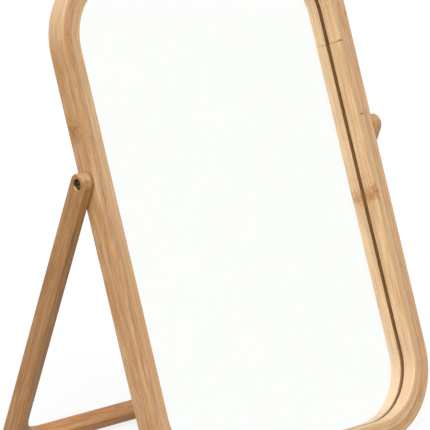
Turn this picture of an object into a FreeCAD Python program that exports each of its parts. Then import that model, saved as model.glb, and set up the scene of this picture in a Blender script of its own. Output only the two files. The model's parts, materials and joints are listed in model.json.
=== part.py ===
import FreeCAD, Part
import math
import os

import Sketcher

# Table mirror in a bent bamboo frame, on a U-shaped bamboo stand that turns about two screws.
#
# The frame is wound from four glued plies, each a strip whose ends are butted. A rebate cut from the
# back takes the glass, its bedding tape and the backing board. The stand straddles the frame: two legs,
# each sawn in one piece with a foot that turns inwards, and a rail dowelled between the feet. The frame
# leans back on its lower edge, and the stand's feet prop it from behind.
#
# Lengths are in millimetres and angles in degrees. The origin is on the table, under the middle of the
# object, with +Z up, +X to the right of someone who looks into the mirror, and +Y away from them.

SIZES = (
    ("frame_width", 250.0, "frame, outside width"),
    ("pivot_to_top", 140.0, "frame, pivot axis to the top edge"),
    ("pivot_to_bottom", 215.0, "frame, pivot axis to the bottom edge"),
    ("frame_depth", 16.5, "frame, front face to back face"),
    ("frame_corner_radius", 56.0, "frame, outside radius of the bends"),
    ("frame_ply", 3.5, "frame, thickness of one ply with its glue line"),
    ("frame_lean", 20.3, "frame, lean from upright in degrees"),
    ("glue_line", 0.06, "glue between two plies"),
    ("edge_radius", 1.5, "sanded round on every outer edge"),
    ("inner_edge_radius", 0.8, "sanded round on the frame's inner front edge"),
    ("joint_gap", 0.3, "gap between the butted ends of a ply"),
    ("inner_joint_rise", 61.0, "inner ply's butt joint above the pivot, on the right"),
    ("second_joint_rise", 8.0, "second ply's butt joint above the pivot, on the right"),
    ("third_joint_shift", 30.0, "third ply's butt joint left of the middle, at the bottom"),
    ("outer_joint_shift", 35.0, "outer ply's butt joint right of the middle, at the bottom"),
    ("rebate_width", 5.0, "how far the rebate reaches into the frame"),
    ("glass_clearance", 0.5, "gap round the glass and the board in the rebate"),
    ("glass_play", 0.2, "gap between the rebate's lip and the glass"),
    ("glass_thickness", 3.0, "mirror glass"),
    ("silver_thickness", 0.1, "silver and its backing paint"),
    ("tape_thickness", 0.25, "double-sided bedding tape"),
    ("tape_width", 19.0, "bedding tape, across"),
    ("tape_length", 210.0, "bedding tape, along"),
    ("tape_pitch", 75.0, "between two strips of bedding tape"),
    ("board_thickness", 2.0, "hardboard back"),
    ("point_thickness", 0.4, "steel glazing point"),
    ("point_width", 8.0, "glazing point, along the rebate"),
    ("point_length", 10.0, "glazing point, across the rebate"),
    ("point_bite", 3.5, "how far a glazing point is driven into the frame"),
    ("point_pitch_tall", 85.0, "between two glazing points on a tall side"),
    ("point_pitch_wide", 90.0, "between two glazing points at the top and bottom"),
    ("back_clearance", 0.1, "glazing points below the frame's back face"),
    ("stand_depth", 14.5, "stand, front face to back face"),
    ("leg_width", 8.4, "stand leg, inner face to outer face"),
    ("foot_height", 8.4, "stand foot, top to underside"),
    ("foot_reach", 27.0, "how far a foot reaches in from its leg"),
    ("foot_cove", 23.5, "radius of the hollow between leg and foot"),
    ("foot_corner", 9.0, "radius of a foot's outer corner"),
    ("rail_thickness", 6.6, "stand rail, top to underside"),
    ("rail_overlap", 5.3, "how far the folded rail laps the frame's bottom edge"),
    ("dowel_diameter", 3.0, "dowel between rail and foot"),
    ("dowel_length", 20.0, "dowel, half of it in the rail and half in the foot"),
    ("dowel_pitch", 7.0, "between the two dowels of a joint"),
    ("dowel_clearance", 0.05, "glue round a dowel"),
    ("dowel_relief", 0.5, "hole past the end of a dowel"),
    ("screw_diameter", 4.0, "pivot screw, shank"),
    ("pivot_clearance", 0.08, "running clearance round the shank in the leg"),
    ("thread_clearance", 0.05, "clearance round the shank in the insert"),
    ("screw_head_diameter", 7.0, "pivot screw, head"),
    ("screw_head_height", 2.4, "pivot screw, head"),
    ("screw_head_round", 1.1, "pivot screw, round on the head"),
    ("recess_length", 4.2, "cross recess, across the head"),
    ("recess_width", 0.9, "cross recess, width of one slot"),
    ("recess_depth", 1.4, "cross recess"),
    ("counterbore_diameter", 7.6, "leg, counterbore for the screw head"),
    ("counterbore_depth", 5.4, "leg, counterbore from the outer face"),
    ("counterbore_round", 0.6, "sanded round on the counterbore's mouth"),
    ("washer_diameter", 7.2, "steel washer under the head"),
    ("washer_thickness", 0.5, "steel washer under the head"),
    ("washer_clearance", 0.15, "clearance round the shank in both washers"),
    ("spacer_diameter", 10.0, "nylon washer between leg and frame"),
    ("spacer_thickness", 0.6, "nylon washer between leg and frame"),
    ("insert_diameter", 6.0, "brass insert, outside"),
    ("insert_length", 6.4, "brass insert"),
    ("insert_relief", 0.4, "hole below the insert, and insert below the screw's tip"),
)

FRAME_PLIES = ("inner", "second", "third", "outer")
POINT_COUNT_TALL = 3
POINT_COUNT_WIDE = 2
TAPE_COUNT = 3
DOWEL_COUNT = 2
SIDES = (("left", -1), ("right", 1))
RIGHT_ANGLE = 90
FULL_TURN = 360
TOUCH = 0.001  # two places closer than this are the same

doc = FreeCAD.newDocument("table_mirror")
sheet = doc.addObject("Spreadsheet::Sheet", "Sizes")


def fill_sheet():
    for row, (alias, number, meaning) in enumerate(SIZES, start=1):
        sheet.set(f"A{row}", meaning)
        sheet.set(f"B{row}", str(number))
        sheet.setAlias(f"B{row}", alias)
    doc.recompute()


def size(alias):
    return float(sheet.get(alias))


# A measure is a sum of sizes, held as {alias: factor}, so that it gives both a number and an expression.

def add(*measures):
    total = {}
    for measure in measures:
        for alias, factor in measure.items():
            total[alias] = total.get(alias, 0) + factor
    return {alias: factor for alias, factor in total.items() if factor}


def times(factor, measure):
    return {alias: factor * share for alias, share in measure.items()}


def minus(first, second):
    return add(first, times(-1, second))


def of(alias, factor=1):
    return {alias: factor}


def value(measure):
    return sum(factor * size(alias) for alias, factor in measure.items())


def expression(measure):
    return " + ".join(f"({factor}) * Sizes.{alias}" for alias, factor in measure.items()) or "0"


# Main places of the object, shared by every piece that meets there.

ON_AXIS = {}  # no distance from the pivot axis
FRAME_BAR = of("frame_ply", len(FRAME_PLIES))
HALF_WIDTH = of("frame_width", 0.5)
FRAME_BACK = of("frame_depth", -0.5)
REBATE_INSET = minus(FRAME_BAR, of("rebate_width"))
GLASS_INSET = add(REBATE_INSET, of("glass_clearance"))
LAYERS = ("point", "board", "tape", "silver", "glass")
REBATE_FILL = add(*(of(f"{layer}_thickness") for layer in LAYERS))
REBATE_DEPTH = add(of("back_clearance"), REBATE_FILL, of("glass_play"))
LEG_INSIDE = add(HALF_WIDTH, of("spacer_thickness"))
LEG_OUTSIDE = add(LEG_INSIDE, of("leg_width"))
FOOT_END = minus(LEG_INSIDE, of("foot_reach"))
RAIL_END = minus(FOOT_END, of("glue_line"))
RAIL_TOP = minus(of("rail_overlap"), of("pivot_to_bottom"))
FOOT_BOTTOM = minus(RAIL_TOP, of("foot_height"))
DOWEL_HALF = of("dowel_length", 0.5)
DOWEL_HOLE = add(DOWEL_HALF, of("dowel_relief"))
INSERT_HOLE = add(of("insert_length"), of("insert_relief"))
LEG_OFF_FRAME = add(of("spacer_thickness"), of("leg_width"))
HEAD_SEAT = minus(add(LEG_OFF_FRAME, of("washer_thickness")), of("counterbore_depth"))


def standing_place():
    """Pivot point and stand angle at which frame and feet both stand on the table."""
    lean = math.radians(size("frame_lean"))
    rounding = size("edge_radius")
    frame_reach = size("pivot_to_bottom") - rounding
    frame_half = size("frame_depth") / 2 - rounding
    height = frame_reach * math.cos(lean) + frame_half * math.sin(lean) + rounding
    stand_reach = -value(FOOT_BOTTOM) - rounding
    stand_half = size("stand_depth") / 2 - rounding
    prop = math.atan2(stand_half, stand_reach)
    prop += math.acos((height - rounding) / math.hypot(stand_reach, stand_half))
    front = -frame_reach * math.sin(lean) - frame_half * math.cos(lean) - rounding
    back = stand_reach * math.sin(prop) + stand_half * math.cos(prop) + rounding
    pivot = FreeCAD.Vector(0, -(front + back) / 2, height)
    return pivot, math.degrees(prop)


def turned_about_x(pivot, angle):
    return FreeCAD.Placement(pivot, FreeCAD.Rotation(FreeCAD.Vector(1, 0, 0), angle))


# Building blocks.

def new_body(label):
    body = doc.addObject("PartDesign::Body", label)
    body.Label = label
    return body


def new_sketch(body, name, role, rise=None):
    sketch = body.newObject("Sketcher::SketchObject", name)
    plane = next(item for item in body.Origin.OriginFeatures if item.Role == role)
    sketch.AttachmentSupport = [(plane, "")]
    sketch.MapMode = "FlatFace"
    if rise:
        sketch.setExpression("AttachmentOffset.Base.z", expression(rise))
    return sketch


def bind(item, **measures):
    """Tie properties of an object to measures; double underscores stand for dots."""
    for path, measure in measures.items():
        item.setExpression(path.replace("__", "."), expression(measure))


def constrain(sketch, constraint, measure, name):
    index = sketch.addConstraint(constraint)
    sketch.renameConstraint(index, name)
    sketch.setExpression(f"Constraints.{name}", expression(measure))


def place_line(sketch, line, vertical, measure, name):
    """Hold an upright line at its X, or a level line at its Y."""
    kind, axis = ("DistanceX", -2) if vertical else ("DistanceY", -1)
    sketch.addConstraint(Sketcher.Constraint("Vertical" if vertical else "Horizontal", line))
    if not measure:
        sketch.addConstraint(Sketcher.Constraint("PointOnObject", line, 1, axis))
    elif value(measure) > 0:
        constrain(sketch, Sketcher.Constraint(kind, -1, 1, line, 1, value(measure)), measure, name)
    else:
        away = times(-1, measure)
        constrain(sketch, Sketcher.Constraint(kind, line, 1, -1, 1, value(away)), away, name)


def draw_outline(sketch, corners, prefix):
    """Closed outline of upright and level lines through corners of (x, y, bend radius or None)."""
    count = len(corners)
    spots = [FreeCAD.Vector(value(x), value(y), 0) for x, y, _ in corners]
    bends = [value(bend) if bend else 0 for _, _, bend in corners]

    def toward(index, other):
        return (spots[other % count] - spots[index]).normalize() * bends[index]

    lines = []
    for index in range(count):
        following = (index + 1) % count
        start = spots[index] + toward(index, index + 1)
        end = spots[following] + toward(following, index)
        lines.append(sketch.addGeometry(Part.LineSegment(start, end)))
    for index, (x, y, bend) in enumerate(corners):
        before, after = lines[index - 1], lines[index]
        vertical = x == corners[(index + 1) % count][0]
        place_line(sketch, after, vertical, x if vertical else y, f"{prefix}_side_{index}")
        if not bend:
            sketch.addConstraint(Sketcher.Constraint("Coincident", before, 2, after, 1))
            continue
        to_last, to_next = toward(index, index - 1), toward(index, index + 1)
        centre = spots[index] + to_last + to_next
        middle = centre - (to_last + to_next).normalize() * bends[index]
        arc = Part.Arc(spots[index] + to_last, middle, spots[index] + to_next)
        left_turn = to_last.cross(to_next).z < 0
        first, last = (1, 2) if left_turn else (2, 1)
        curve = sketch.addGeometry(arc)
        sketch.addConstraint(Sketcher.Constraint("Tangent", before, 2, curve, first))
        sketch.addConstraint(Sketcher.Constraint("Tangent", curve, last, after, 1))
        radius = Sketcher.Constraint("Radius", curve, bends[index])
        constrain(sketch, radius, bend, f"{prefix}_bend_{index}")


def frame_outline(inset):
    """Corners of the frame's rounded rectangle, moved inwards by a measure."""
    right = minus(HALF_WIDTH, inset)
    left = times(-1, right)
    top = minus(of("pivot_to_top"), inset)
    bottom = minus(inset, of("pivot_to_bottom"))
    bend = minus(of("frame_corner_radius"), inset)
    return [(left, bottom, bend), (right, bottom, bend), (right, top, bend), (left, top, bend)]


def pad(body, outlines, rise, thickness):
    sketch = new_sketch(body, f"{body.Label}_outline", "XY_Plane", rise)
    for index, outline in enumerate(outlines):
        draw_outline(sketch, outline, f"outline_{index}")
    feature = body.newObject("PartDesign::Pad", f"{body.Label}_pad")
    feature.Profile = sketch
    bind(feature, Length=thickness)
    doc.recompute()
    return feature


def box_cut(body, name, corner, extents):
    cut = body.newObject("PartDesign::SubtractiveBox", f"{body.Label}_{name}")
    for axis, place in zip("xyz", corner):
        cut.setExpression(f"Placement.Base.{axis}", expression(place))
    for side, extent in zip(("Length", "Width", "Height"), extents):
        cut.setExpression(side, expression(extent))
    return cut


def lay_along_x(cylinder, start, rise, offset):
    """Turn a cylinder to lie along X, from a start, at a rise along Y and an offset along Z."""
    along_x = FreeCAD.Rotation(FreeCAD.Vector(0, 1, 0), RIGHT_ANGLE)
    cylinder.Placement = FreeCAD.Placement(FreeCAD.Vector(), along_x)
    bind(cylinder, Placement__Base__x=start, Placement__Base__y=rise, Placement__Base__z=offset)


def cylinder_along_x(body, kind, name, radius, span, sign, rise=ON_AXIS, offset=ON_AXIS):
    """Add or cut a cylinder between two distances from the middle plane, on one side of it."""
    near, far = span
    cylinder = body.newObject(f"PartDesign::{kind}Cylinder", f"{body.Label}_{name}")
    lay_along_x(cylinder, near if sign > 0 else times(-1, far), rise, offset)
    bind(cylinder, Radius=radius, Height=minus(far, near))
    return cylinder


def round_edges(body, name, chosen, radius):
    """Round the edges of the body's last feature whose middle point is chosen."""
    doc.recompute()
    last = body.Tip
    names = []
    for number, edge in enumerate(last.Shape.Edges, start=1):
        middle = edge.valueAt((edge.FirstParameter + edge.LastParameter) / 2)
        if chosen(middle):
            names.append(f"Edge{number}")
    feature = body.newObject("PartDesign::Fillet", f"{body.Label}_{name}")
    feature.Base = (last, names)
    bind(feature, Radius=radius)
    doc.recompute()
    return feature


def compound(label, solids):
    """Separate equal solids in one piece."""
    together = doc.addObject("Part::Compound", label)
    together.Label = label
    together.Links = solids
    return together


def centred_steps(count):
    return [step - (count - 1) / 2 for step in range(count)]


# Frame.

def frame_inset(point):
    """Distance of a point inside the frame's outside face."""
    radius = size("frame_corner_radius")
    top, bottom = size("pivot_to_top"), size("pivot_to_bottom")
    from_bend_x = abs(point.x) - (value(HALF_WIDTH) - radius)
    from_bend_y = abs(point.y - (top - bottom) / 2) - ((top + bottom) / 2 - radius)
    outside = math.hypot(max(from_bend_x, 0), max(from_bend_y, 0))
    return radius - outside - min(max(from_bend_x, from_bend_y), 0)


def on_frame_rim(inset, faces):
    """Test for points on the edge at an inset from the outside, on the front (1) or back (-1) face."""
    half_depth = size("frame_depth") / 2

    def on_rim(point):
        at_inset = abs(frame_inset(point) - inset) < TOUCH
        return at_inset and any(abs(point.z - face * half_depth) < TOUCH for face in faces)

    return on_rim


def cut_butt_joint(body, name, near, far):
    """Part the ply where its two ends meet, on the right side or at the bottom."""
    gap, half_gap = of("joint_gap"), of("joint_gap", 0.5)
    across = add(minus(far, near), times(2, gap))
    low, through = minus(FRAME_BACK, gap), add(of("frame_depth"), times(2, gap))
    if name in ("inner", "second"):
        left = minus(minus(HALF_WIDTH, far), gap)
        corner = (left, minus(of(f"{name}_joint_rise"), half_gap), low)
        extents = (across, gap, through)
    else:
        shift = of("third_joint_shift", -1) if name == "third" else of("outer_joint_shift")
        below = minus(minus(near, of("pivot_to_bottom")), gap)
        corner = (minus(shift, half_gap), below, low)
        extents = (gap, across, through)
    box_cut(body, "butt_joint", corner, extents)


def cut_rebate(body):
    sketch = new_sketch(body, f"{body.Label}_rebate_outline", "XY_Plane", FRAME_BACK)
    draw_outline(sketch, frame_outline(REBATE_INSET), "rebate")
    feature = body.newObject("PartDesign::Pocket", f"{body.Label}_rebate")
    feature.Profile = sketch
    feature.Reversed = True
    bind(feature, Length=REBATE_DEPTH)
    before = feature.BaseFeature.Shape.Volume
    doc.recompute()
    if feature.Shape.Volume >= before:
        raise RuntimeError(f"{body.Label}: the rebate cut nothing")


def frame_ply(index, name):
    """One ply of the frame, counted from the inside."""
    body = new_body(f"frame_ply_{name}")
    near = of("frame_ply", len(FRAME_PLIES) - 1 - index)
    far = add(near, of("frame_ply"))
    if index:
        far = minus(far, of("glue_line"))
    pad(body, [frame_outline(near), frame_outline(far)], FRAME_BACK, of("frame_depth"))
    if index * size("frame_ply") < size("rebate_width"):
        cut_rebate(body)
    if name == "outer":
        round_edges(body, "round", on_frame_rim(0, (1, -1)), of("edge_radius"))
    if name == "inner":
        round_edges(body, "round", on_frame_rim(value(FRAME_BAR), (1,)), of("inner_edge_radius"))
    if value(near) < value(INSERT_HOLE):
        span = (minus(HALF_WIDTH, INSERT_HOLE), add(HALF_WIDTH, of("joint_gap")))
        for side, sign in SIDES:
            hole = of("insert_diameter", 0.5)
            cylinder_along_x(body, "Subtractive", f"insert_hole_{side}", hole, span, sign)
    cut_butt_joint(body, name, near, far)
    return body


# What lies in the rebate, from the back forwards.

def layer_rise(layer):
    """Height of a layer's back face above the frame's middle plane."""
    below = LAYERS[:LAYERS.index(layer)]
    return add(FRAME_BACK, of("back_clearance"), *(of(f"{name}_thickness") for name in below))


def pane(label, layer):
    body = new_body(label)
    pad(body, [frame_outline(GLASS_INSET)], layer_rise(layer), of(f"{layer}_thickness"))
    return body


def group(label, boxes):
    """Separate equal plates in one piece; each box is a corner and its extents."""
    plates = []
    for number, (corner, extents) in enumerate(boxes, start=1):
        plate = doc.addObject("Part::Box", f"{label}_{number}")
        for axis, place in zip("xyz", corner):
            plate.setExpression(f"Placement.Base.{axis}", expression(place))
        for side, extent in zip(("Length", "Width", "Height"), extents):
            plate.setExpression(side, expression(extent))
        plates.append(plate)
    return compound(label, plates)


def bedding_tape():
    middle = add(of("pivot_to_top", 0.5), of("pivot_to_bottom", -0.5))
    low = minus(middle, of("tape_length", 0.5))
    extents = (of("tape_width"), of("tape_length"), of("tape_thickness"))
    boxes = []
    for step in centred_steps(TAPE_COUNT):
        left = minus(of("tape_pitch", step), of("tape_width", 0.5))
        boxes.append(((left, low, layer_rise("tape")), extents))
    return group("bedding_tape", boxes)


def glazing_points():
    rise, flat = layer_rise("point"), of("point_thickness")
    middle = add(of("pivot_to_top", 0.5), of("pivot_to_bottom", -0.5))
    wall_x = minus(HALF_WIDTH, REBATE_INSET)
    wall_top = minus(of("pivot_to_top"), REBATE_INSET)
    wall_bottom = minus(REBATE_INSET, of("pivot_to_bottom"))
    reach = minus(of("point_length"), of("point_bite"))
    half_width = of("point_width", 0.5)
    boxes = []
    for step in centred_steps(POINT_COUNT_TALL):
        low = minus(add(middle, of("point_pitch_tall", step)), half_width)
        for left in (minus(wall_x, reach), minus(times(-1, wall_x), of("point_bite"))):
            boxes.append(((left, low, rise), (of("point_length"), of("point_width"), flat)))
    for step in centred_steps(POINT_COUNT_WIDE):
        left = minus(of("point_pitch_wide", step), half_width)
        for low in (minus(wall_top, reach), minus(wall_bottom, of("point_bite"))):
            boxes.append(((left, low, rise), (of("point_width"), of("point_length"), flat)))
    return group("glazing_points", boxes)


# Stand.

def leg_outline(sign):
    """Corners of a leg and the foot that turns inwards from it."""
    inside, outside, end = (times(sign, place) for place in (LEG_INSIDE, LEG_OUTSIDE, FOOT_END))
    return [
        (outside, ON_AXIS, None),
        (outside, FOOT_BOTTOM, of("foot_corner")),
        (end, FOOT_BOTTOM, None),
        (end, RAIL_TOP, None),
        (inside, RAIL_TOP, of("foot_cove")),
        (inside, ON_AXIS, None),
    ]


def on_leg_edge(point):
    """True along the front and back edges of a leg and its foot, and round the leg's top."""
    half_depth = size("stand_depth") / 2
    if point.y > TOUCH:
        return abs(math.hypot(point.y, point.z) - half_depth) < TOUCH
    at_face = abs(abs(point.z) - half_depth) < TOUCH
    at_joint = abs(point.x) - value(FOOT_END) < TOUCH
    return at_face and not at_joint and point.y < -TOUCH


def on_counterbore_mouth(point):
    at_face = abs(abs(point.x) - value(LEG_OUTSIDE)) < TOUCH
    return at_face and abs(math.hypot(point.y, point.z) - size("counterbore_diameter") / 2) < TOUCH


def on_rail_edge(point):
    """True along the rail's four long edges, whose middle points lie on the middle plane."""
    return abs(point.x) < TOUCH and abs(abs(point.z) - size("stand_depth") / 2) < TOUCH


def dowel_places():
    """Side and offset of each dowel; they all lie at the middle of the rail's thickness."""
    return [(sign, of("dowel_pitch", step)) for _, sign in SIDES for step in centred_steps(DOWEL_COUNT)]


def dowel_rise():
    return minus(RAIL_TOP, of("rail_thickness", 0.5))


def drill_for_dowels(body, span, signs):
    radius = add(of("dowel_diameter", 0.5), of("dowel_clearance"))
    for number, (sign, offset) in enumerate(dowel_places(), start=1):
        if sign in signs:
            name = f"dowel_hole_{number}"
            cylinder_along_x(body, "Subtractive", name, radius, span, sign, dowel_rise(), offset)


def stand_leg(side, sign):
    """Leg and foot, rounded at the top and drilled for the pivot screw and the dowels."""
    body = new_body(f"stand_leg_{side}")
    gap = of("joint_gap")
    pad(body, [leg_outline(sign)], of("stand_depth", -0.5), of("stand_depth"))
    width = (LEG_INSIDE, LEG_OUTSIDE)
    cylinder_along_x(body, "Additive", "top", of("stand_depth", 0.5), width, sign)
    round_edges(body, "round", on_leg_edge, of("edge_radius"))
    hole = add(of("screw_diameter", 0.5), of("pivot_clearance"))
    through = (minus(LEG_INSIDE, gap), add(LEG_OUTSIDE, gap))
    cylinder_along_x(body, "Subtractive", "pivot_hole", hole, through, sign)
    sunk = (minus(LEG_OUTSIDE, of("counterbore_depth")), add(LEG_OUTSIDE, gap))
    cylinder_along_x(body, "Subtractive", "counterbore", of("counterbore_diameter", 0.5), sunk, sign)
    round_edges(body, "mouth", on_counterbore_mouth, of("counterbore_round"))
    drill_for_dowels(body, (minus(FOOT_END, gap), add(FOOT_END, DOWEL_HOLE)), (sign,))
    return body


def stand_rail():
    body = new_body("stand_rail")
    left, bottom = times(-1, RAIL_END), minus(RAIL_TOP, of("rail_thickness"))
    corners = ((left, bottom), (RAIL_END, bottom), (RAIL_END, RAIL_TOP), (left, RAIL_TOP))
    outline = [(x, y, None) for x, y in corners]
    pad(body, [outline], of("stand_depth", -0.5), of("stand_depth"))
    round_edges(body, "round", on_rail_edge, of("edge_radius"))
    drill_for_dowels(body, (minus(FOOT_END, DOWEL_HOLE), FOOT_END), (1, -1))
    return body


def rail_dowels():
    """Dowels half in the rail and half in the feet."""
    dowels = []
    for number, (sign, offset) in enumerate(dowel_places(), start=1):
        dowel = doc.addObject("Part::Cylinder", f"rail_dowel_{number}")
        lay_along_x(dowel, minus(times(sign, FOOT_END), DOWEL_HALF), dowel_rise(), offset)
        bind(dowel, Radius=of("dowel_diameter", 0.5), Height=of("dowel_length"))
        dowels.append(dowel)
    return compound("rail_dowels", dowels)


# Pivot hardware, each piece along its own Z axis with Z zero on the frame's side face.

def turned_piece(label, corners):
    """Piece turned about its Z axis from corners of (radius, height, bend or None)."""
    body = new_body(label)
    sketch = new_sketch(body, f"{label}_profile", "XZ_Plane")
    draw_outline(sketch, corners, "profile")
    feature = body.newObject("PartDesign::Revolution", f"{label}_turning")
    feature.Profile = sketch
    feature.ReferenceAxis = (sketch, ["V_Axis"])
    feature.Angle = FULL_TURN
    doc.recompute()
    return body


def ring(label, bore_clearance, outside, low, high):
    bore = add(of("screw_diameter", 0.5), of(bore_clearance))
    rim = of(outside, 0.5)
    return turned_piece(label, [(bore, low, None), (rim, low, None), (rim, high, None), (bore, high, None)])


def pivot_screw(label):
    shank, head = of("screw_diameter", 0.5), of("screw_head_diameter", 0.5)
    tip = minus(of("insert_relief"), of("insert_length"))
    top = add(HEAD_SEAT, of("screw_head_height"))
    body = turned_piece(label, [
        ({}, tip, None),
        (shank, tip, None),
        (shank, HEAD_SEAT, None),
        (head, HEAD_SEAT, None),
        (head, top, of("screw_head_round")),
        ({}, top, None),
    ])
    floor = minus(top, of("recess_depth"))
    deep = add(of("recess_depth"), of("joint_gap"))
    long_half, short_half = of("recess_length", -0.5), of("recess_width", -0.5)
    long_side, short_side = of("recess_length"), of("recess_width")
    box_cut(body, "recess_level", (long_half, short_half, floor), (long_side, short_side, deep))
    box_cut(body, "recess_upright", (short_half, long_half, floor), (short_side, long_side, deep))
    return body


def pivot_hardware(side):
    washer_low = minus(HEAD_SEAT, of("washer_thickness"))
    return [
        ring(f"threaded_insert_{side}", "thread_clearance", "insert_diameter", of("insert_length", -1), {}),
        ring(f"spacer_washer_{side}", "washer_clearance", "spacer_diameter", {}, of("spacer_thickness")),
        ring(f"screw_washer_{side}", "washer_clearance", "washer_diameter", washer_low, HEAD_SEAT),
        pivot_screw(f"pivot_screw_{side}"),
    ]


# Assembly.

def build():
    pivot, prop = standing_place()
    leaning = turned_about_x(pivot, RIGHT_ANGLE - size("frame_lean"))
    propped = turned_about_x(pivot, RIGHT_ANGLE + prop)
    mirror = [frame_ply(index, name) for index, name in enumerate(FRAME_PLIES)]
    mirror.append(pane("mirror_glass", "glass"))
    mirror.append(pane("mirror_silvering", "silver"))
    mirror.append(bedding_tape())
    mirror.append(pane("backing_board", "board"))
    mirror.append(glazing_points())
    stand = [stand_leg(side, sign) for side, sign in SIDES]
    stand.append(stand_rail())
    stand.append(rail_dowels())
    for piece in mirror:
        piece.Placement = leaning
    for piece in stand:
        piece.Placement = propped
    pieces = mirror + stand
    for side, sign in SIDES:
        outwards = FreeCAD.Rotation(FreeCAD.Vector(0, 0, 1), FreeCAD.Vector(sign, 0, 0))
        on_side = FreeCAD.Placement(FreeCAD.Vector(sign * value(HALF_WIDTH), 0, 0), outwards)
        hardware = pivot_hardware(side)
        for piece in hardware:
            piece.Placement = leaning.multiply(on_side)
        pieces += hardware
    doc.recompute()
    return pieces


def check(pieces):
    for item in doc.Objects:
        if "Invalid" in item.State or "Error" in item.State:
            raise RuntimeError(f"{item.Label} failed: {item.State}")
    for piece in pieces:
        if piece.Shape.isNull() or not piece.Shape.isValid() or not piece.Shape.Solids:
            raise RuntimeError(f"{piece.Label} has no valid shape")


def write(pieces):
    os.makedirs("parts", exist_ok=True)
    for piece in pieces:
        piece.Shape.exportStep(os.path.join("parts", f"{piece.Label}.step"))


fill_sheet()
all_pieces = build()
check(all_pieces)
write(all_pieces)
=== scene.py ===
import json
import math

import bpy
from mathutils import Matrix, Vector


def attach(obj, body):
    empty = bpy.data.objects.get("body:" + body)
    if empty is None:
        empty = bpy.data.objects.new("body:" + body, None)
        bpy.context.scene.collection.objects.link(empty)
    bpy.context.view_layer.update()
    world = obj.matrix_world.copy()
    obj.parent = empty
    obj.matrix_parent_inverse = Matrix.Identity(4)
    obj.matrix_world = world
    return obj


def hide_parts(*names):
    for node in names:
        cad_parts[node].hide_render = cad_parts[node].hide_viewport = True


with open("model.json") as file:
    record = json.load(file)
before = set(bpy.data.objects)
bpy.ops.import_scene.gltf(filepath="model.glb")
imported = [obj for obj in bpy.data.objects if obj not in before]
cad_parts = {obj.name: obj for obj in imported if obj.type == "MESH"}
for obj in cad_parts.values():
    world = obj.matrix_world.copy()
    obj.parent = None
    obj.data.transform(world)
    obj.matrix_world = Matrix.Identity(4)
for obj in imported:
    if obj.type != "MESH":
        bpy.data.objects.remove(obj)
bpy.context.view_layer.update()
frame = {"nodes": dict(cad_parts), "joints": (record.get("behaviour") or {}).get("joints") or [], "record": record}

# Finishes, light and camera for a table mirror in a bent bamboo frame on a U-shaped bamboo stand.
# Lengths are in millimetres, apart from places that Blender takes in metres, and angles in degrees.

MM = 0.001
RIGHT = Vector((1, 0, 0))

# The frame and the stand each have a drawing plane through the pivot: X to the right, Y up along the
# bamboo and Z out of the front. Its tilt is read from the flat face that each of them rests on.

PIVOT = Vector(frame["joints"][0]["pos_m"])
RESTS = {mount["name"]: Vector(mount["axis"]) for mount in frame["record"]["mounts"]}
UP_FRAME = -RESTS["frame_underside"]
UP_STAND = -RESTS["foot_underside_left"]
FRONT = RIGHT.cross(UP_FRAME)
STAND_FRONT = RIGHT.cross(UP_STAND)


def furthest(node, way):
    """How far a node reaches from the pivot in a direction, at rest."""
    places = [(vertex.co - PIVOT).dot(way) for vertex in frame["nodes"][node].data.vertices]
    return max(places) / MM


FRAME_TOP = furthest("frame_ply_outer", UP_FRAME)
FRAME_BOTTOM = -furthest("frame_ply_outer", -UP_FRAME)
FRAME_SIDE = furthest("frame_ply_outer", RIGHT)
FRAME_PLY = FRAME_SIDE - furthest("frame_ply_third", RIGHT)  # one bent strip with its glue
FRAME_BEND = 56.0  # outer radius of the frame's corners
FRAME_MIDDLE = (FRAME_TOP + FRAME_BOTTOM) / 2
FRAME_CORE = (FRAME_SIDE - FRAME_BEND, (FRAME_TOP - FRAME_BOTTOM) / 2 - FRAME_BEND)
QUARTER = sum(FRAME_CORE) + FRAME_BEND * math.pi / 2  # a quarter of the way round the frame's outline

LEG_WIDTH = 8.4
LEG_INSIDE = furthest("stand_leg_right", RIGHT) - LEG_WIDTH
RAIL_TOP = furthest("stand_rail", UP_STAND)

# Materials

MIX_A, MIX_B, MIX_OUT = 6, 7, 2  # sockets of a Mix node that mixes colours
NOISE_RANGE = (0.3, 0.7)  # levels that most of a noise lies between


def linear(code):
    """sRGB hex code as a linear colour."""
    channels = [int(code[i:i + 2], 16) / 255 for i in (1, 3, 5)]
    return [c / 12.92 if c <= 0.04045 else ((c + 0.055) / 1.055) ** 2.4 for c in channels] + [1.0]


def add(tree, kind, inputs=None, output=0, **settings):
    """Add a shader node and give one of its outputs.

    An input is a value, or the output that it is linked from.
    """
    made = tree.nodes.new(kind)
    for name, setting in settings.items():
        setattr(made, name, setting)
    for socket, source in (inputs or {}).items():
        if isinstance(source, bpy.types.NodeSocket):
            tree.links.new(source, made.inputs[socket])
        else:
            made.inputs[socket].default_value = source
    return made.outputs[output] if made.outputs else None


def new_material(name):
    """An empty material and its tree of nodes."""
    material = bpy.data.materials.new(name)
    material.use_nodes = True
    material.node_tree.nodes.clear()
    return material, material.node_tree


def dress(node, material):
    """Give one of the frame's pieces a material."""
    slots = frame["nodes"][node].data.materials
    slots.clear()
    slots.append(material)


# Places on the bamboo

def in_plane(tree, up, centre=0.0):
    """Place in a drawing plane, with its origin a distance up from the pivot."""
    space = add(tree, "ShaderNodeTexCoord", output="Object")
    tilt = math.atan2(up.z, up.y)
    return add(tree, "ShaderNodeMapping", {"Vector": space, "Location": PIVOT + up * centre * MM,
               "Rotation": (tilt, 0, 0), "Scale": (MM, MM, MM)}, vector_type="TEXTURE")


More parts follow.
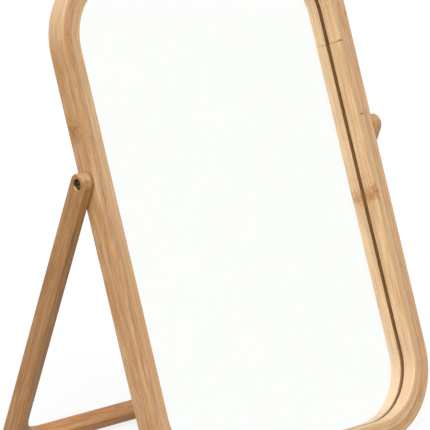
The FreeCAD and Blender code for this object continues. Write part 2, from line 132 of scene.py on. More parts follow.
def on_frame(joint):
    """Run along a ply from its butt joint, distance outside the frame's outline (negative), and depth."""
    # The core reaches to the centres of the four bends, and further than the frame in depth.
    core = (*FRAME_CORE, 2 * FRAME_SIDE)

    def place(tree):
        flat = in_plane(tree, UP_FRAME, FRAME_MIDDLE)
        sides = add(tree, "ShaderNodeSeparateXYZ", {0: flat}).node.outputs
        folded = add(tree, "ShaderNodeVectorMath", {0: flat}, operation="ABSOLUTE")
        past = add(tree, "ShaderNodeVectorMath", {0: folded, 1: core}, operation="SUBTRACT")
        past = add(tree, "ShaderNodeVectorMath", {0: past, 1: (0, 0, 0)}, operation="MAXIMUM")
        reach = add(tree, "ShaderNodeVectorMath", {0: past}, "Value", operation="LENGTH")
        outside = add(tree, "ShaderNodeMath", {0: reach, 1: FRAME_BEND}, operation="SUBTRACT")
        # The run within one quarter goes up the side, round the bend and along the top.
        past = add(tree, "ShaderNodeSeparateXYZ", {0: past}).node.outputs
        angle = add(tree, "ShaderNodeMath", {0: past[1], 1: past[0]}, operation="ARCTAN2")
        within = add(tree, "ShaderNodeVectorMath", {0: folded, 1: core}, operation="MINIMUM")
        within = add(tree, "ShaderNodeSeparateXYZ", {0: within}).node.outputs
        along = add(tree, "ShaderNodeMath", {0: within[1], 1: within[0]}, operation="SUBTRACT")
        along = add(tree, "ShaderNodeMath", {0: along, 1: FRAME_CORE[0]}, operation="ADD")
        along = add(tree, "ShaderNodeMath", {0: angle, 1: FRAME_BEND, 2: along}, operation="MULTIPLY_ADD")
        # The other quarters mirror it, and the left half starts half the way round.
        right = add(tree, "ShaderNodeMath", {0: sides[0]}, operation="SIGN")
        upper = add(tree, "ShaderNodeMath", {0: sides[1]}, operation="SIGN")
        turn = add(tree, "ShaderNodeMath", {0: right, 1: upper}, operation="MULTIPLY")
        left = add(tree, "ShaderNodeMath", {0: sides[0], 1: 0.0}, operation="LESS_THAN")
        start = add(tree, "ShaderNodeMath", {0: left, 1: 2 * QUARTER, 2: -joint}, operation="MULTIPLY_ADD")
        run = add(tree, "ShaderNodeMath", {0: turn, 1: along, 2: start}, operation="MULTIPLY_ADD")
        run = add(tree, "ShaderNodeMath", {0: run, 1: 0.0, 2: 4 * QUARTER}, operation="WRAP")
        return run, outside, sides[2]
    return place


def on_leg(tree):
    """Run up the leg from the pivot, distance outside the leg's inner face, and depth."""
    sides = add(tree, "ShaderNodeSeparateXYZ", {0: in_plane(tree, UP_STAND)}).node.outputs
    away = add(tree, "ShaderNodeMath", {0: sides[0]}, operation="ABSOLUTE")
    outside = add(tree, "ShaderNodeMath", {0: away, 1: LEG_INSIDE}, operation="SUBTRACT")
    return sides[1], outside, sides[2]


def on_rail(tree):
    """Run along the rail from its middle, distance below its top, and depth."""
    sides = add(tree, "ShaderNodeSeparateXYZ", {0: in_plane(tree, UP_STAND)}).node.outputs
    below = add(tree, "ShaderNodeMath", {0: RAIL_TOP, 1: sides[1]}, operation="SUBTRACT")
    return sides[0], below, sides[2]


# Bamboo

STREAKS = (
    # length and width of a mark, noise levels where it starts and is full, strength, which tone
    (160.0, 6.0, 0.38, 0.66, 0.55, "rosy"),
    (55.0, 3.0, 0.42, 0.66, 0.75, "light"),
    (48.0, 2.4, 0.46, 0.70, 0.65, "dark"),
    (24.0, 1.0, 0.44, 0.68, 0.60, "dark"),
    (16.0, 0.9, 0.46, 0.70, 0.60, "light"),
    (5.0, 0.6, 0.50, 0.72, 0.45, "dark"),
)
STREAK_STEP = 5.3  # from one kind of streak to the next in the noise, so that they lie in other places

# Length and width of a pattern's marks, and its place in the noise
RIPPLE = (9.0, 4.0, 18.9)  # in the border of a mark
FLECK = (2.6, 1.2, 25.3)  # in a knot
FIBRE = (12.0, 0.5, 33.1)  # on the surface

RIPPLE_HEIGHT = 9.0  # along the run, and less on a shorter mark
FLECK_LEVELS = (0.35, 0.65)  # noise levels where a fleck starts and is full
FIBRE_HEIGHT = 0.05
BETWEEN_FIBRES, ON_FIBRES = 0.46, 0.36  # roughness of the lacquer
LACQUER_IOR = 1.5
FULL_PART = 0.1  # share of a mark's half length that has its full strength
GLUE_SOAK = 0.5  # from a strip's edge
STRIP_SHADE = 0.45  # largest share of the dark tone in a strip
STRIP_NUDGE = 0.01  # in strips; keeps their borders off the flat faces

# Hole for the screw's head: painted shade darkens its wall deeper in and on one side, not near the mouth.
# Places are up the leg and forwards from the pivot, and backwards below 0.
BORE_RADIUS = 3.8
BORE_SLACK = 0.02  # keeps the wall itself well inside the tone
BORE_MIDDLE = (0.0, 0.0)
BORE_EDGE = 0.1  # how far past the wall the tone ends
UNSHADED_DEPTH = 1.3
PAINTED_SHADE_DEPTH = 1.95
PAINTED_SHADE_SIDE = (1.0, -1.3)
PAINTED_SHADE_EDGE = 0.5
PAINTED_SHADE_SHARE = 0.9


class Bamboo:
    """Split bamboo, planed, glued into strips, sanded and sealed with a clear satin lacquer.

    It shows short streaks in close tones, a darker line where glue has soaked into a strip's edge, a speckled
    brown knot where the cane had a joint, and other tones on its skin, on cut ends and in patches. Some paler
    patches are painted light, and some darker places painted shade. The finest fibres are too thin to show in
    a picture, so the streaks are drawn about twice as wide.
    """

    def __init__(self, name, place, tones, seed):
        """The bare middle tone; place finds a point on the piece, and seed sets its grain in the noise."""
        self.material, self.tree = new_material(name)
        self.run, self.outside, self.depth = place(self.tree)
        self.spot = add(self.tree, "ShaderNodeCombineXYZ", {0: self.run, 1: self.outside, 2: self.depth})
        self.tones = tones
        self.seed = seed
        self.colour = linear(tones["middle"])

    def lay(self, tone, share):
        """A tone over the colour so far."""
        self.colour = add(self.tree, "ShaderNodeMix", {0: share, MIX_A: self.colour,
                          MIX_B: linear(self.tones[tone])}, MIX_OUT, data_type="RGBA")

    def grain(self, length, width, place):
        """Noise drawn out along the strip, in marks of one length and width."""
        cells = add(self.tree, "ShaderNodeVectorMath", {0: self.spot, 1: (1 / length, 1 / width, 1 / width),
                    2: (self.seed, place, self.seed - place)}, operation="MULTIPLY_ADD")
        return add(self.tree, "ShaderNodeTexNoise", {"Vector": cells, "Scale": 1.0, "Detail": 1.0})

    def near(self, distance, middle, half, share):
        """A share that is full close to a place and falls softly to 0 at half a mark's length from it."""
        away = add(self.tree, "ShaderNodeMath", {0: distance, 1: middle}, operation="SUBTRACT")
        away = add(self.tree, "ShaderNodeMath", {0: away}, operation="ABSOLUTE")
        return add(self.tree, "ShaderNodeMapRange", {"Value": away, "From Min": FULL_PART * half,
                   "From Max": half, "To Min": share, "To Max": 0.0}, interpolation_type="SMOOTHSTEP")

    def faces(self, way, squareness, strength, tone):
        """Another tone on the faces that look along a direction or against it."""
        start, full = squareness
        normal = add(self.tree, "ShaderNodeTexCoord", output="Normal")
        facing = add(self.tree, "ShaderNodeVectorMath", {0: normal, 1: way}, "Value", operation="DOT_PRODUCT")
        facing = add(self.tree, "ShaderNodeMath", {0: facing}, operation="ABSOLUTE")
        self.lay(tone, add(self.tree, "ShaderNodeMapRange", {"Value": facing, "From Min": start,
                           "From Max": full, "To Min": 0.0, "To Max": strength}))

    def band(self, start, full, strength, tone, through=None):
        """Another tone that grows from one distance outside to another, at all depths or near one."""
        share = add(self.tree, "ShaderNodeMapRange", {"Value": self.outside, "From Min": start,
                    "From Max": full, "To Min": 0.0, "To Max": strength})
        if through:
            share = self.near(self.depth, *through, share)
        self.lay(tone, share)

    def streaks(self):
        """The grain, one kind of streak over the other."""
        for number, (length, width, start, full, strength, tone) in enumerate(STREAKS):
            noise = self.grain(length, width, STREAK_STEP * number)
            self.lay(tone, add(self.tree, "ShaderNodeMapRange", {"Value": noise, "From Min": start,
                               "From Max": full, "To Min": 0.0, "To Max": strength}))

    def strips(self, width):
        """A shade of its own for each strip of a board."""
        which = add(self.tree, "ShaderNodeMath", {0: self.outside, 1: 1 / width, 2: STRIP_NUDGE},
                    operation="MULTIPLY_ADD")
        which = add(self.tree, "ShaderNodeMath", {0: which}, operation="FLOOR")
        which = add(self.tree, "ShaderNodeMath", {0: which, 1: self.seed}, operation="ADD")
        shade = add(self.tree, "ShaderNodeTexWhiteNoise", {"W": which}, noise_dimensions="1D")
        self.lay("dark", add(self.tree, "ShaderNodeMath", {0: shade, 1: STRIP_SHADE}, operation="MULTIPLY"))

    def mark(self, middle, half, strength, tone, across=None, through=None):
        """A mark with a rippled border, on all of the strip or near one place across or through it."""
        height = min(RIPPLE_HEIGHT, half)
        rippled = add(self.tree, "ShaderNodeMath", {0: self.grain(*RIPPLE), 1: height, 2: self.run},
                      operation="MULTIPLY_ADD")
        share = self.near(rippled, middle + height / 2, half, strength)
        if across:
            share = self.near(self.outside, *across, share)
        if through:
            share = self.near(self.depth, *through, share)
        if tone == "knot":
            self.lay("amber", share)
            start, full = FLECK_LEVELS
            share = add(self.tree, "ShaderNodeMapRange", {"Value": self.grain(*FLECK), "From Min": start,
                        "From Max": full, "To Min": 0.0, "To Max": share})
        self.lay(tone, share)

    def glue(self, edge, inwards, strength):
        """Glue that has soaked into a strip from one edge."""
        self.lay("glue", add(self.tree, "ShaderNodeMapRange", {"Value": self.outside, "From Min": edge,
                             "From Max": edge + inwards * GLUE_SOAK, "To Min": strength, "To Max": 0.0}))

    def disc(self, middle, edge, share):
        """A share that holds within the hole's radius of a place on the leg's side, with a soft edge."""
        up, forwards = middle
        flat = add(self.tree, "ShaderNodeVectorMath", {0: self.spot, 1: (1, 0, 1), 2: (-up, 0, -forwards)},
                   operation="MULTIPLY_ADD")
        reach = add(self.tree, "ShaderNodeVectorMath", {0: flat}, "Value", operation="LENGTH")
        return add(self.tree, "ShaderNodeMapRange", {"Value": reach, "From Min": BORE_RADIUS + BORE_SLACK,
                   "From Max": BORE_RADIUS + edge, "To Min": share, "To Max": 0.0})

    def bore(self):
        """The wall of the screw's hole, with painted shade deeper in and on one side."""
        deep = add(self.tree, "ShaderNodeMapRange", {"Value": self.outside,
                   "From Min": LEG_WIDTH - UNSHADED_DEPTH, "From Max": LEG_WIDTH - PAINTED_SHADE_DEPTH,
                   "To Min": 0.0, "To Max": PAINTED_SHADE_SHARE})
        side = self.disc(PAINTED_SHADE_SIDE, PAINTED_SHADE_EDGE, PAINTED_SHADE_SHARE)
        self.lay("cut", self.disc(BORE_MIDDLE, BORE_EDGE, 1.0))
        self.lay("painted_bore_shade", self.disc(BORE_MIDDLE, BORE_EDGE, deep))
        self.lay("painted_bore_shade", self.disc(BORE_MIDDLE, BORE_EDGE, side))

    def finish(self):
        """The lacquer, a little smoother on the raised fibres, and with it the whole material."""
        start, full = NOISE_RANGE
        fibres = self.grain(*FIBRE)
        roughness = add(self.tree, "ShaderNodeMapRange", {"Value": fibres, "From Min": start,
                        "From Max": full, "To Min": BETWEEN_FIBRES, "To Max": ON_FIBRES})
        bump = add(self.tree, "ShaderNodeBump", {"Height": fibres, "Strength": 0.2,
                   "Distance": FIBRE_HEIGHT * MM})
        shader = add(self.tree, "ShaderNodeBsdfPrincipled", {"Base Color": self.colour,
                     "Roughness": roughness, "IOR": LACQUER_IOR, "Normal": bump})
        add(self.tree, "ShaderNodeOutputMaterial", {"Surface": shader})
        return self.material


def palette(middle, light, dark, rosy, **others):
    """Tones of one piece of bamboo, with those that every piece has."""
    # The last of these tones is painted shade for the inside of the screw's hole.
    shared = {"knot": "#8A5220", "amber": "#CB9150", "glue": "#86603C", "gap": "#7E4A1A",
              "painted_bore_shade": "#5E4220"}
    return {"middle": middle, "light": light, "dark": dark, "rosy": rosy, **shared, **others}


# The inner ply's tone for the gap under its lip is painted shade.
INNER = palette("#D0A878", "#DDBB90", "#BD9160", "#CFA47C", skin="#F6CD9E", golden="#EBC080",
                stain="#925F18", orange="#C49566", dull="#E4C29C")
SECOND = palette("#CDA578", "#D9B78E", "#BB9064", "#CDA07C", orange="#C49566")
THIRD = palette("#C3956A", "#D9B388", "#A37242", "#C2926C")
# The outer ply's palest tone is painted light, and its tone for the rounded edge painted shade.
OUTER = palette("#C79B6C", "#DDB88C", "#A87642", "#C79670", skin="#C88838", ember="#A8743A", gold="#B4843F",
                arris="#B07C42", pale="#EDCBA0")
# The legs' pale tone is a painted highlight.
LEG = palette("#B48145", "#CC9C61", "#8E5C27", "#B47A4A", end="#B08262", edge="#C09872", rail="#E09A5A",
              cove="#E4B08C", pale="#E4BA92", cut="#F6CFA0")
# The rail's tones are much lighter than the legs', partly painted light for a rail in the frame's shade.
RAIL = palette("#E8A15C", "#F2BA80", "#BE7A40", "#E59961", edge="#D0A276")

# The frame's four plies. Runs start in the middle of the right side and go up, to the left and round.

OUTER_FACE = 0.0
INNER_FACE = -4 * FRAME_PLY
FRONT_FACE = furthest("frame_ply_outer", FRONT)
LIP_UNDERSIDE = -furthest("frame_ply_inner", -FRONT)  # the face that looks at the glass
INNER_JOINT = 61.0 - FRAME_MIDDLE  # two butt joints are on the right side, so far above the pivot
SECOND_JOINT = 8.0 - FRAME_MIDDLE
THIRD_JOINT = 3 * QUARTER - 30.0  # and two to the left and right of the middle of the bottom
OUTER_JOINT = 3 * QUARTER + 35.0
JOINT_HALF = 1.1
NODE_HALF = 9.0  # half the length of the band that a cane's joint leaves
PLY_STEP = 11.0  # from one ply's grain to the next in the noise

# Each ply has its butt joint's run, and the strength of the glue on its inner and outer edge.
# A skin lies under the streaks and painted shade over them: start and full distance, strength, tone, through.
# A mark has its run, half its length, strength, tone, across and through.
# Across and through are each a middle and half a width, in distance outside and in depth.

FRAME_PLIES = {
    "inner": {
        "tones": INNER, "joint": INNER_JOINT, "glue": (0.0, 0.12),
        # The pale skin on the inner face is partly painted sheen and light from the mirror beside it.
        "skins": [(INNER_FACE + 0.8, INNER_FACE, 0.9, "skin"),
                  (INNER_FACE + 0.8, INNER_FACE, 0.7, "golden", (FRONT_FACE, 8.0))],
        # Painted shade in the gap under the lip, seen through the glass.
        "stains": [(INNER_FACE + 0.03, INNER_FACE + 0.2, 0.85, "stain", (LIP_UNDERSIDE, 0.8))],
        "marks": [(-10.2, NODE_HALF, 0.75, "knot"),
                  (300.0, NODE_HALF, 0.6, "knot"),
                  (620.0, 120.0, 0.7, "orange"),
                  (835.0, 120.0, 0.6, "light"),
                  (948.4, 80.0, 0.9, "dull", (INNER_FACE, 2.0)),
                  (INNER_JOINT, JOINT_HALF, 0.8, "gap", None, (FRONT_FACE, 2.0))],
    },
    "second": {
        "tones": SECOND, "joint": SECOND_JOINT, "glue": (0.12, 0.35), "skins": [], "stains": [],
        "marks": [(280.5, NODE_HALF, 0.6, "knot"),
                  (790.0, NODE_HALF, 0.6, "knot"),
                  (620.0, 120.0, 0.7, "orange"),
                  (0.0, 200.0, 0.4, "light"),
                  (SECOND_JOINT, JOINT_HALF, 0.8, "gap")],
    },
    "third": {
        "tones": THIRD, "joint": THIRD_JOINT, "glue": (0.35, 0.12), "skins": [], "stains": [],
        "marks": [(426.0, NODE_HALF, 0.5, "knot"),
                  (700.0, NODE_HALF, 0.6, "knot"),
                  (-65.3, 6.0, 0.7, "knot", (-5.5, 2.2)),
                  (-49.0, 14.0, 0.5, "amber", (-4.4, 1.6)),
                  (0.0, 200.0, 0.3, "light")],
    },
    "outer": {
        "tones": OUTER, "joint": OUTER_JOINT, "glue": (0.12, 0.0),
        "skins": [(OUTER_FACE - 1.0, OUTER_FACE - 0.1, 0.85, "skin")],
        # Painted shade on the outer ply's rounded front edge, which dulls its highlight.
        "stains": [(OUTER_FACE - 2.0, OUTER_FACE - 0.5, 0.7, "arris", (FRONT_FACE, 2.4))],
        "marks": [(485.2, 13.0, 0.8, "knot", (OUTER_FACE, 2.5), (-2.0, 13.0)),
                  (118.4, 5.0, 0.5, "knot"),
                  (840.0, NODE_HALF, 0.6, "knot"),
                  (444.0, 11.0, 0.6, "gold", (OUTER_FACE, 2.5), (-1.2, 5.0)),
                  (459.0, 10.0, 0.8, "ember", (OUTER_FACE, 2.5), (5.5, 0.9)),
                  # Painted highlight on the upper left bend, where the light falls strongest.
                  (390.0, 60.0, 0.6, "pale", (OUTER_FACE, 2.2)),
                  # Painted light over the shadow that the leg's head casts on the frame's side.
                  (526.0, 18.0, 0.55, "pale", (OUTER_FACE, 2.5), (5.5, 4.5)),
                  (0.0, 200.0, 0.5, "light")],
    },
}


def frame_materials():
    """Bamboo for each of the four plies."""
    for number, (name, ply) in enumerate(FRAME_PLIES.items()):
        joint = ply["joint"]
        inner_edge = INNER_FACE + FRAME_PLY * number
        inner_glue, outer_glue = ply["glue"]
        wood = Bamboo(f"bamboo_frame_{name}", on_frame(joint), ply["tones"], PLY_STEP * (number + 1))
        for skin in ply["skins"]:
            wood.band(*skin)
        wood.streaks()
        for stain in ply["stains"]:
            wood.band(*stain)
        for run, *rest in ply["marks"]:
            wood.mark((run - joint) % (4 * QUARTER), *rest)
        wood.glue(inner_edge, 1, inner_glue)
        wood.glue(inner_edge + FRAME_PLY, -1, outer_glue)
        dress(f"frame_ply_{name}", wood.finish())


# The stand's legs, each with its foot, and its rail

LEG_STRIP = 2.8
RAIL_STRIP = 2.2
FRONT_SQUARENESS = (0.6, 0.95)  # of a face to the front, where the edge's tone starts and is full
END_SQUARENESS = (0.3, 0.8)  # of a face to the leg's length, where the cut end's tone starts and is full

# Bands and marks have the same values as on the frame, with distances outside the leg's inner face and
# runs up from the pivot.
FOOT_TONES = [(-13.5, -15.0, 0.75, "cove"), (-18.0, -21.0, 0.85, "rail")]
# Painted highlight on the rounded tops of the legs
PAINTED_CROWN_LIGHT = (7.0, 2.4, 0.4, "pale")
# Painted light over the shaded head of the right leg, round the pivot
PAINTED_HEAD_LIGHT = (-3.0, 12.0, 0.7, "light")
LEGS = (
    # side, its grain's place in the noise, marks
    ("left", 70.0, [PAINTED_CROWN_LIGHT]),
    ("right", 83.0, [PAINTED_CROWN_LIGHT, PAINTED_HEAD_LIGHT]),
)
RAIL_GRAIN = 97.0


def stand_materials():
    """Bamboo for the two legs, and one for the rail and its dowels."""
    for side, grain, marks in LEGS:
        wood = Bamboo(f"bamboo_stand_leg_{side}", on_leg, LEG, grain)
        wood.faces(STAND_FRONT, FRONT_SQUARENESS, strength=0.8, tone="edge")
        wood.faces(UP_STAND, END_SQUARENESS, strength=0.7, tone="end")
        wood.streaks()
        wood.strips(LEG_STRIP)
        for tone in FOOT_TONES:
            wood.band(*tone)
        for mark in marks:
            wood.mark(*mark)
        wood.bore()
        dress(f"stand_leg_{side}", wood.finish())
    wood = Bamboo("bamboo_stand_rail", on_rail, RAIL, RAIL_GRAIN)
    wood.faces(STAND_FRONT, FRONT_SQUARENESS, strength=0.5, tone="edge")
    wood.streaks()
    wood.strips(RAIL_STRIP)
    finish = wood.finish()
    dress("stand_rail", finish)
    dress("rail_dowels", finish)


# Mirror

FILM_GAP = 0.04  # kept between glass and silver, so that no two faces lie in one place
FACING_BACK = -0.5  # a face looks to the back where its normal reaches less than this to the front
SILVER_PATCH = 40.0
PAINT_DROP = 1.5  # a real drop is too fine to show, so it is drawn larger


def mirror_film():
    """Silver film on the back of the glass, with the paint that seals it.

    Its front lies a hair behind the glass, because the glass's back face would otherwise hide it.
    """
    node = frame["nodes"]["mirror_silvering"]
    mesh = node.data.copy()
    mesh.name = "mirror_film"
    places = [vertex.co.dot(FRONT) for vertex in mesh.vertices]
    middle = (min(places) + max(places)) / 2
    for vertex, place in zip(mesh.vertices, places):
        if place > middle:
            vertex.co -= FRONT * FILM_GAP * MM
    mesh.materials.clear()
    mesh.materials.append(silver())
    mesh.materials.append(sealing_paint())
    for face in mesh.polygons:
        face.material_index = 1 if face.normal.dot(FRONT) < FACING_BACK else 0
    made = bpy.data.objects.new("mirror_film", mesh)
    bpy.context.scene.collection.objects.link(made)
    made.matrix_world = node.matrix_world
    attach(made, "mirror")
    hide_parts("mirror_silvering")


def silver():
    """Chemically deposited silver: a flawless reflection, a trace warmer in wide patches."""
    material, tree = new_material("silver_film")
    space = add(tree, "ShaderNodeTexCoord", output="Object")
    cloud = add(tree, "ShaderNodeTexNoise", {"Vector": space, "Scale": 1 / (SILVER_PATCH * MM)})
    colour = add(tree, "ShaderNodeMix", {0: cloud, MIX_A: linear("#FEFEFD"), MIX_B: linear("#FFFFFF")},
                 MIX_OUT, data_type="RGBA")
    shader = add(tree, "ShaderNodeBsdfPrincipled", {"Base Color": colour, "Roughness": 0.0, "Metallic": 1.0})
    add(tree, "ShaderNodeOutputMaterial", {"Surface": shader})
    return material


def sealing_paint():
    """Sprayed grey paint: dull, with a fine mist of lighter drops."""
    material, tree = new_material("mirror_back_paint_sprayed")
    space = add(tree, "ShaderNodeTexCoord", output="Object")
    mist = add(tree, "ShaderNodeTexNoise", {"Vector": space, "Scale": 1 / (PAINT_DROP * MM), "Detail": 3.0})
    colour = add(tree, "ShaderNodeMix", {0: mist, MIX_A: linear("#70777A"), MIX_B: linear("#8A9092")},
                 MIX_OUT, data_type="RGBA")
    shader = add(tree, "ShaderNodeBsdfPrincipled", {"Base Color": colour, "Roughness": 0.6})
    add(tree, "ShaderNodeOutputMaterial", {"Surface": shader})
    return material


def float_glass():
    """Polished float glass: clear, with the faintest green.

    Light on its way to a matt surface passes straight through, so that the mirror lights the frame round it.
    """
    material, tree = new_material("float_glass_polished")
    glass = add(tree, "ShaderNodeBsdfPrincipled", {"Base Color": linear("#FEFFFE"), "Roughness": 0.0,
                "IOR": 1.52, "Transmission Weight": 1.0})
    clear = add(tree, "ShaderNodeBsdfTransparent")
    path = add(tree, "ShaderNodeLightPath").node.outputs
    unseen = add(tree, "ShaderNodeMath", {0: path["Diffuse Depth"], 1: path["Is Shadow Ray"]},
                 operation="MAXIMUM")
    shader = add(tree, "ShaderNodeMixShader", {0: unseen, 1: glass, 2: clear})
    add(tree, "ShaderNodeOutputMaterial", {"Surface": shader})
    return material


# Board, metal and plastic

BOARD_PATCH = 18.0
BOARD_FIBRE = 1.2  # a real fibre is about a tenth of this, too thin to show
BOARD_FIBRE_HEIGHT = 0.08
PALE_FIBRE_LEVELS = (0.55, 0.7)  # noise levels where a pale fibre starts and is full
PALE_FIBRE_SHARE = 0.5
METAL_DULL, METAL_RUBBED = 0.08, -0.06  # roughness of the dark and the light patches, from the middle
PORE_DEPTH = 0.1  # in widths of a pore
PLASTIC_IOR = 1.53


def hardboard():
    """Pressed wood fibre, smooth side out: dark brown with short pale fibres lying all ways."""
    material, tree = new_material("hardboard_pressed")
    space = add(tree, "ShaderNodeTexCoord", output="Object")
    cloud = add(tree, "ShaderNodeTexNoise", {"Vector": space, "Scale": 1 / (BOARD_PATCH * MM), "Detail": 4.0})
    base = add(tree, "ShaderNodeMix", {0: cloud, MIX_A: linear("#6B4A33"), MIX_B: linear("#86603F")},
               MIX_OUT, data_type="RGBA")
    pulp = add(tree, "ShaderNodeTexNoise", {"Vector": space, "Scale": 1 / (BOARD_FIBRE * MM), "Detail": 6.0,
               "Distortion": 2.5})
    start, full = PALE_FIBRE_LEVELS
    pale = add(tree, "ShaderNodeMapRange", {"Value": pulp, "From Min": start, "From Max": full,
               "To Min": 0.0, "To Max": PALE_FIBRE_SHARE})
    colour = add(tree, "ShaderNodeMix", {0: pale, MIX_A: base, MIX_B: linear("#A98358")},
                 MIX_OUT, data_type="RGBA")
    bump = add(tree, "ShaderNodeBump", {"Height": pulp, "Strength": 0.3, "Distance": BOARD_FIBRE_HEIGHT * MM})
    shader = add(tree, "ShaderNodeBsdfPrincipled", {"Base Color": colour, "Roughness": 0.62, "Normal": bump})
    add(tree, "ShaderNodeOutputMaterial", {"Surface": shader})
    return material


def metal(name, light, dark, roughness, patch):
    """Plated, blackened or turned metal: faint cloudy patches of one size, smoother where they are light."""
    material, tree = new_material(name)
    space = add(tree, "ShaderNodeTexCoord", output="Object")
    cloud = add(tree, "ShaderNodeTexNoise", {"Vector": space, "Scale": 1 / (patch * MM), "Detail": 4.0})
    colour = add(tree, "ShaderNodeMix", {0: cloud, MIX_A: linear(dark), MIX_B: linear(light)},
                 MIX_OUT, data_type="RGBA")
    start, full = NOISE_RANGE
    spread = add(tree, "ShaderNodeMapRange", {"Value": cloud, "From Min": start, "From Max": full,
                 "To Min": roughness + METAL_DULL, "To Max": roughness + METAL_RUBBED})
    shader = add(tree, "ShaderNodeBsdfPrincipled", {"Base Color": colour, "Metallic": 1.0,
                 "Roughness": spread})
    add(tree, "ShaderNodeOutputMaterial", {"Surface": shader})
    return material


def plastic(name, light, dark, roughness, pore):
    """Moulded nylon or coated cloth tape: two close tones, and a dull skin with pores of one size."""
    material, tree = new_material(name)
    space = add(tree, "ShaderNodeTexCoord", output="Object")
    pores = add(tree, "ShaderNodeTexVoronoi", {"Vector": space, "Scale": 1 / (pore * MM)})
    colour = add(tree, "ShaderNodeMix", {0: pores, MIX_A: linear(light), MIX_B: linear(dark)},
                 MIX_OUT, data_type="RGBA")
    bump = add(tree, "ShaderNodeBump", {"Height": pores, "Strength": 0.2, "Distance": PORE_DEPTH * pore * MM})
    shader = add(tree, "ShaderNodeBsdfPrincipled", {"Base Color": colour, "Roughness": roughness,
                 "IOR": PLASTIC_IOR, "Normal": bump})
    add(tree, "ShaderNodeOutputMaterial", {"Surface": shader})
    return material


def small_part_materials():
    """Materials of the glass, of what lies behind it and of the fittings."""
    dress("mirror_glass", float_glass())
    dress("backing_board", hardboard())
    # Cloth tape is a chalky white, with its weave just showing.
    tape = plastic("cloth_tape_white", light="#E6E4DF", dark="#C9C7C1", roughness=0.85, pore=0.3)
    dress("bedding_tape", tape)
    # Zinc plate has a pale grey, slightly cloudy shine.
    zinc = metal("steel_zinc_plated", light="#D2D3D2", dark="#AFB1B2", roughness=0.34, patch=0.8)
    dress("glazing_points", zinc)
    # The black oxide is rubbed, so that the steel shows through it as a dull bronze.
    black = metal("steel_black_oxide", light="#A08F6C", dark="#5C4B30", roughness=0.34, patch=0.9)
    # Turned brass is a bright yellow, and moulded nylon has a dull skin, near black.
    brass = metal("brass_turned", light="#D9B468", dark="#B78E44", roughness=0.3, patch=1.2)
    nylon = plastic("nylon_moulded_black", light="#3A3633", dark="#2B2826", roughness=0.5, pore=0.4)
    for side in ("left", "right"):
        dress(f"pivot_screw_{side}", black)
        dress(f"screw_washer_{side}", black)
        dress(f"threaded_insert_{side}", brass)
        dress(f"spacer_washer_{side}", nylon)


# Floor and light

FLOOR_HALF = 6000.0
FLOOR_GLOW = 0.83  # what the floor gives of itself where it is looked at; the rest of its white is lit
ROOM_LEVEL = 0.42  # as light on the object; where it is looked at, the room has a strength of 1
LAMP_LEVEL = 2.6
LAMP_SPREAD = 100.0
LAMP_PLACE = (-0.52, -0.46, 0.76)  # the direction that it stands in
NO_BOUNCE = 0.5  # a diffuse depth below this means that no matt surface came before


def seen_directly(tree):
    """1 where the camera looks, also by way of metal and glass, and 0 for light on the object."""
    path = add(tree, "ShaderNodeLightPath").node.outputs
    seen = add(tree, "ShaderNodeMath", {0: path["Is Camera Ray"], 1: path["Is Glossy Ray"]},
               operation="MAXIMUM")
    seen = add(tree, "ShaderNodeMath", {0: seen, 1: path["Is Transmission Ray"]}, operation="MAXIMUM")
    unlit = add(tree, "ShaderNodeMath", {0: path["Diffuse Depth"], 1: NO_BOUNCE}, operation="LESS_THAN")
    return add(tree, "ShaderNodeMath", {0: seen, 1: unlit}, operation="MULTIPLY")


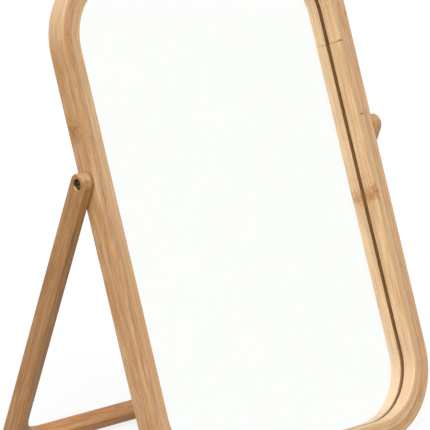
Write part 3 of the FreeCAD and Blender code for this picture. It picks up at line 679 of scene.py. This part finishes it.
def floor():
    """Matt pale table top, seen as white and keeping a light shadow of the object."""
    mesh = bpy.data.meshes.new("studio_floor")
    reach = FLOOR_HALF * MM
    corners = [(-reach, -reach, 0), (reach, -reach, 0), (reach, reach, 0), (-reach, reach, 0)]
    mesh.from_pydata(corners, [], [range(len(corners))])
    material, tree = new_material("studio_floor_matt")
    seen = seen_directly(tree)
    colour = add(tree, "ShaderNodeMix", {0: seen, MIX_A: linear("#BCBCBC"), MIX_B: linear("#7C7C7C")},
                 MIX_OUT, data_type="RGBA")
    matt = add(tree, "ShaderNodeBsdfDiffuse", {"Color": colour})
    level = add(tree, "ShaderNodeMath", {0: seen, 1: FLOOR_GLOW}, operation="MULTIPLY")
    glow = add(tree, "ShaderNodeEmission", {"Color": (1, 1, 1, 1), "Strength": level})
    shader = add(tree, "ShaderNodeAddShader", {0: matt, 1: glow})
    add(tree, "ShaderNodeOutputMaterial", {"Surface": shader})
    mesh.materials.append(material)
    made = bpy.data.objects.new("studio_floor", mesh)
    bpy.context.scene.collection.objects.link(made)


def light():
    """White room all round, with one large soft lamp above the front, on the left."""
    world = bpy.data.worlds.new("white_room")
    world.use_nodes = True
    tree = world.node_tree
    tree.nodes.clear()
    strength = add(tree, "ShaderNodeMath", {0: seen_directly(tree), 1: ROOM_LEVEL}, operation="MAXIMUM")
    sky = add(tree, "ShaderNodeBackground", {"Color": (1, 1, 1, 1), "Strength": strength})
    add(tree, "ShaderNodeOutputWorld", {"Surface": sky})
    bpy.context.scene.world = world
    lamp = bpy.data.lights.new("soft_lamp", "SUN")
    lamp.energy = LAMP_LEVEL
    lamp.angle = math.radians(LAMP_SPREAD)
    made = bpy.data.objects.new("soft_lamp", lamp)
    made.rotation_euler = Vector(LAMP_PLACE).to_track_quat("Z", "Y").to_euler()
    bpy.context.scene.collection.objects.link(made)


# The camera looks a little down at the front from the left. Its place was fitted to the object's edges.

CAMERA_TARGET = (-15.76, 0.002, -40.451)  # from the pivot
CAMERA_DISTANCE = 1882.1
CAMERA_AZIMUTH = 41.382
CAMERA_ELEVATION = 14.729
FOCAL_LENGTH = 234.62
SENSOR_WIDTH = 36.0


def camera():
    data = bpy.data.cameras.new("camera")
    data.lens = FOCAL_LENGTH
    data.sensor_width = SENSOR_WIDTH
    made = bpy.data.objects.new("camera", data)
    azimuth = math.radians(CAMERA_AZIMUTH)
    elevation = math.radians(CAMERA_ELEVATION)
    level = math.cos(elevation)
    sight = Vector((level * math.sin(azimuth), level * math.cos(azimuth), -math.sin(elevation)))
    made.location = PIVOT + (Vector(CAMERA_TARGET) - sight * CAMERA_DISTANCE) * MM
    made.rotation_euler = sight.to_track_quat("-Z", "Y").to_euler()
    bpy.context.scene.collection.objects.link(made)
    bpy.context.scene.camera = made


frame_materials()
stand_materials()
mirror_film()
small_part_materials()
floor()
light()
camera()
bpy.context.scene.view_settings.view_transform = "Standard"
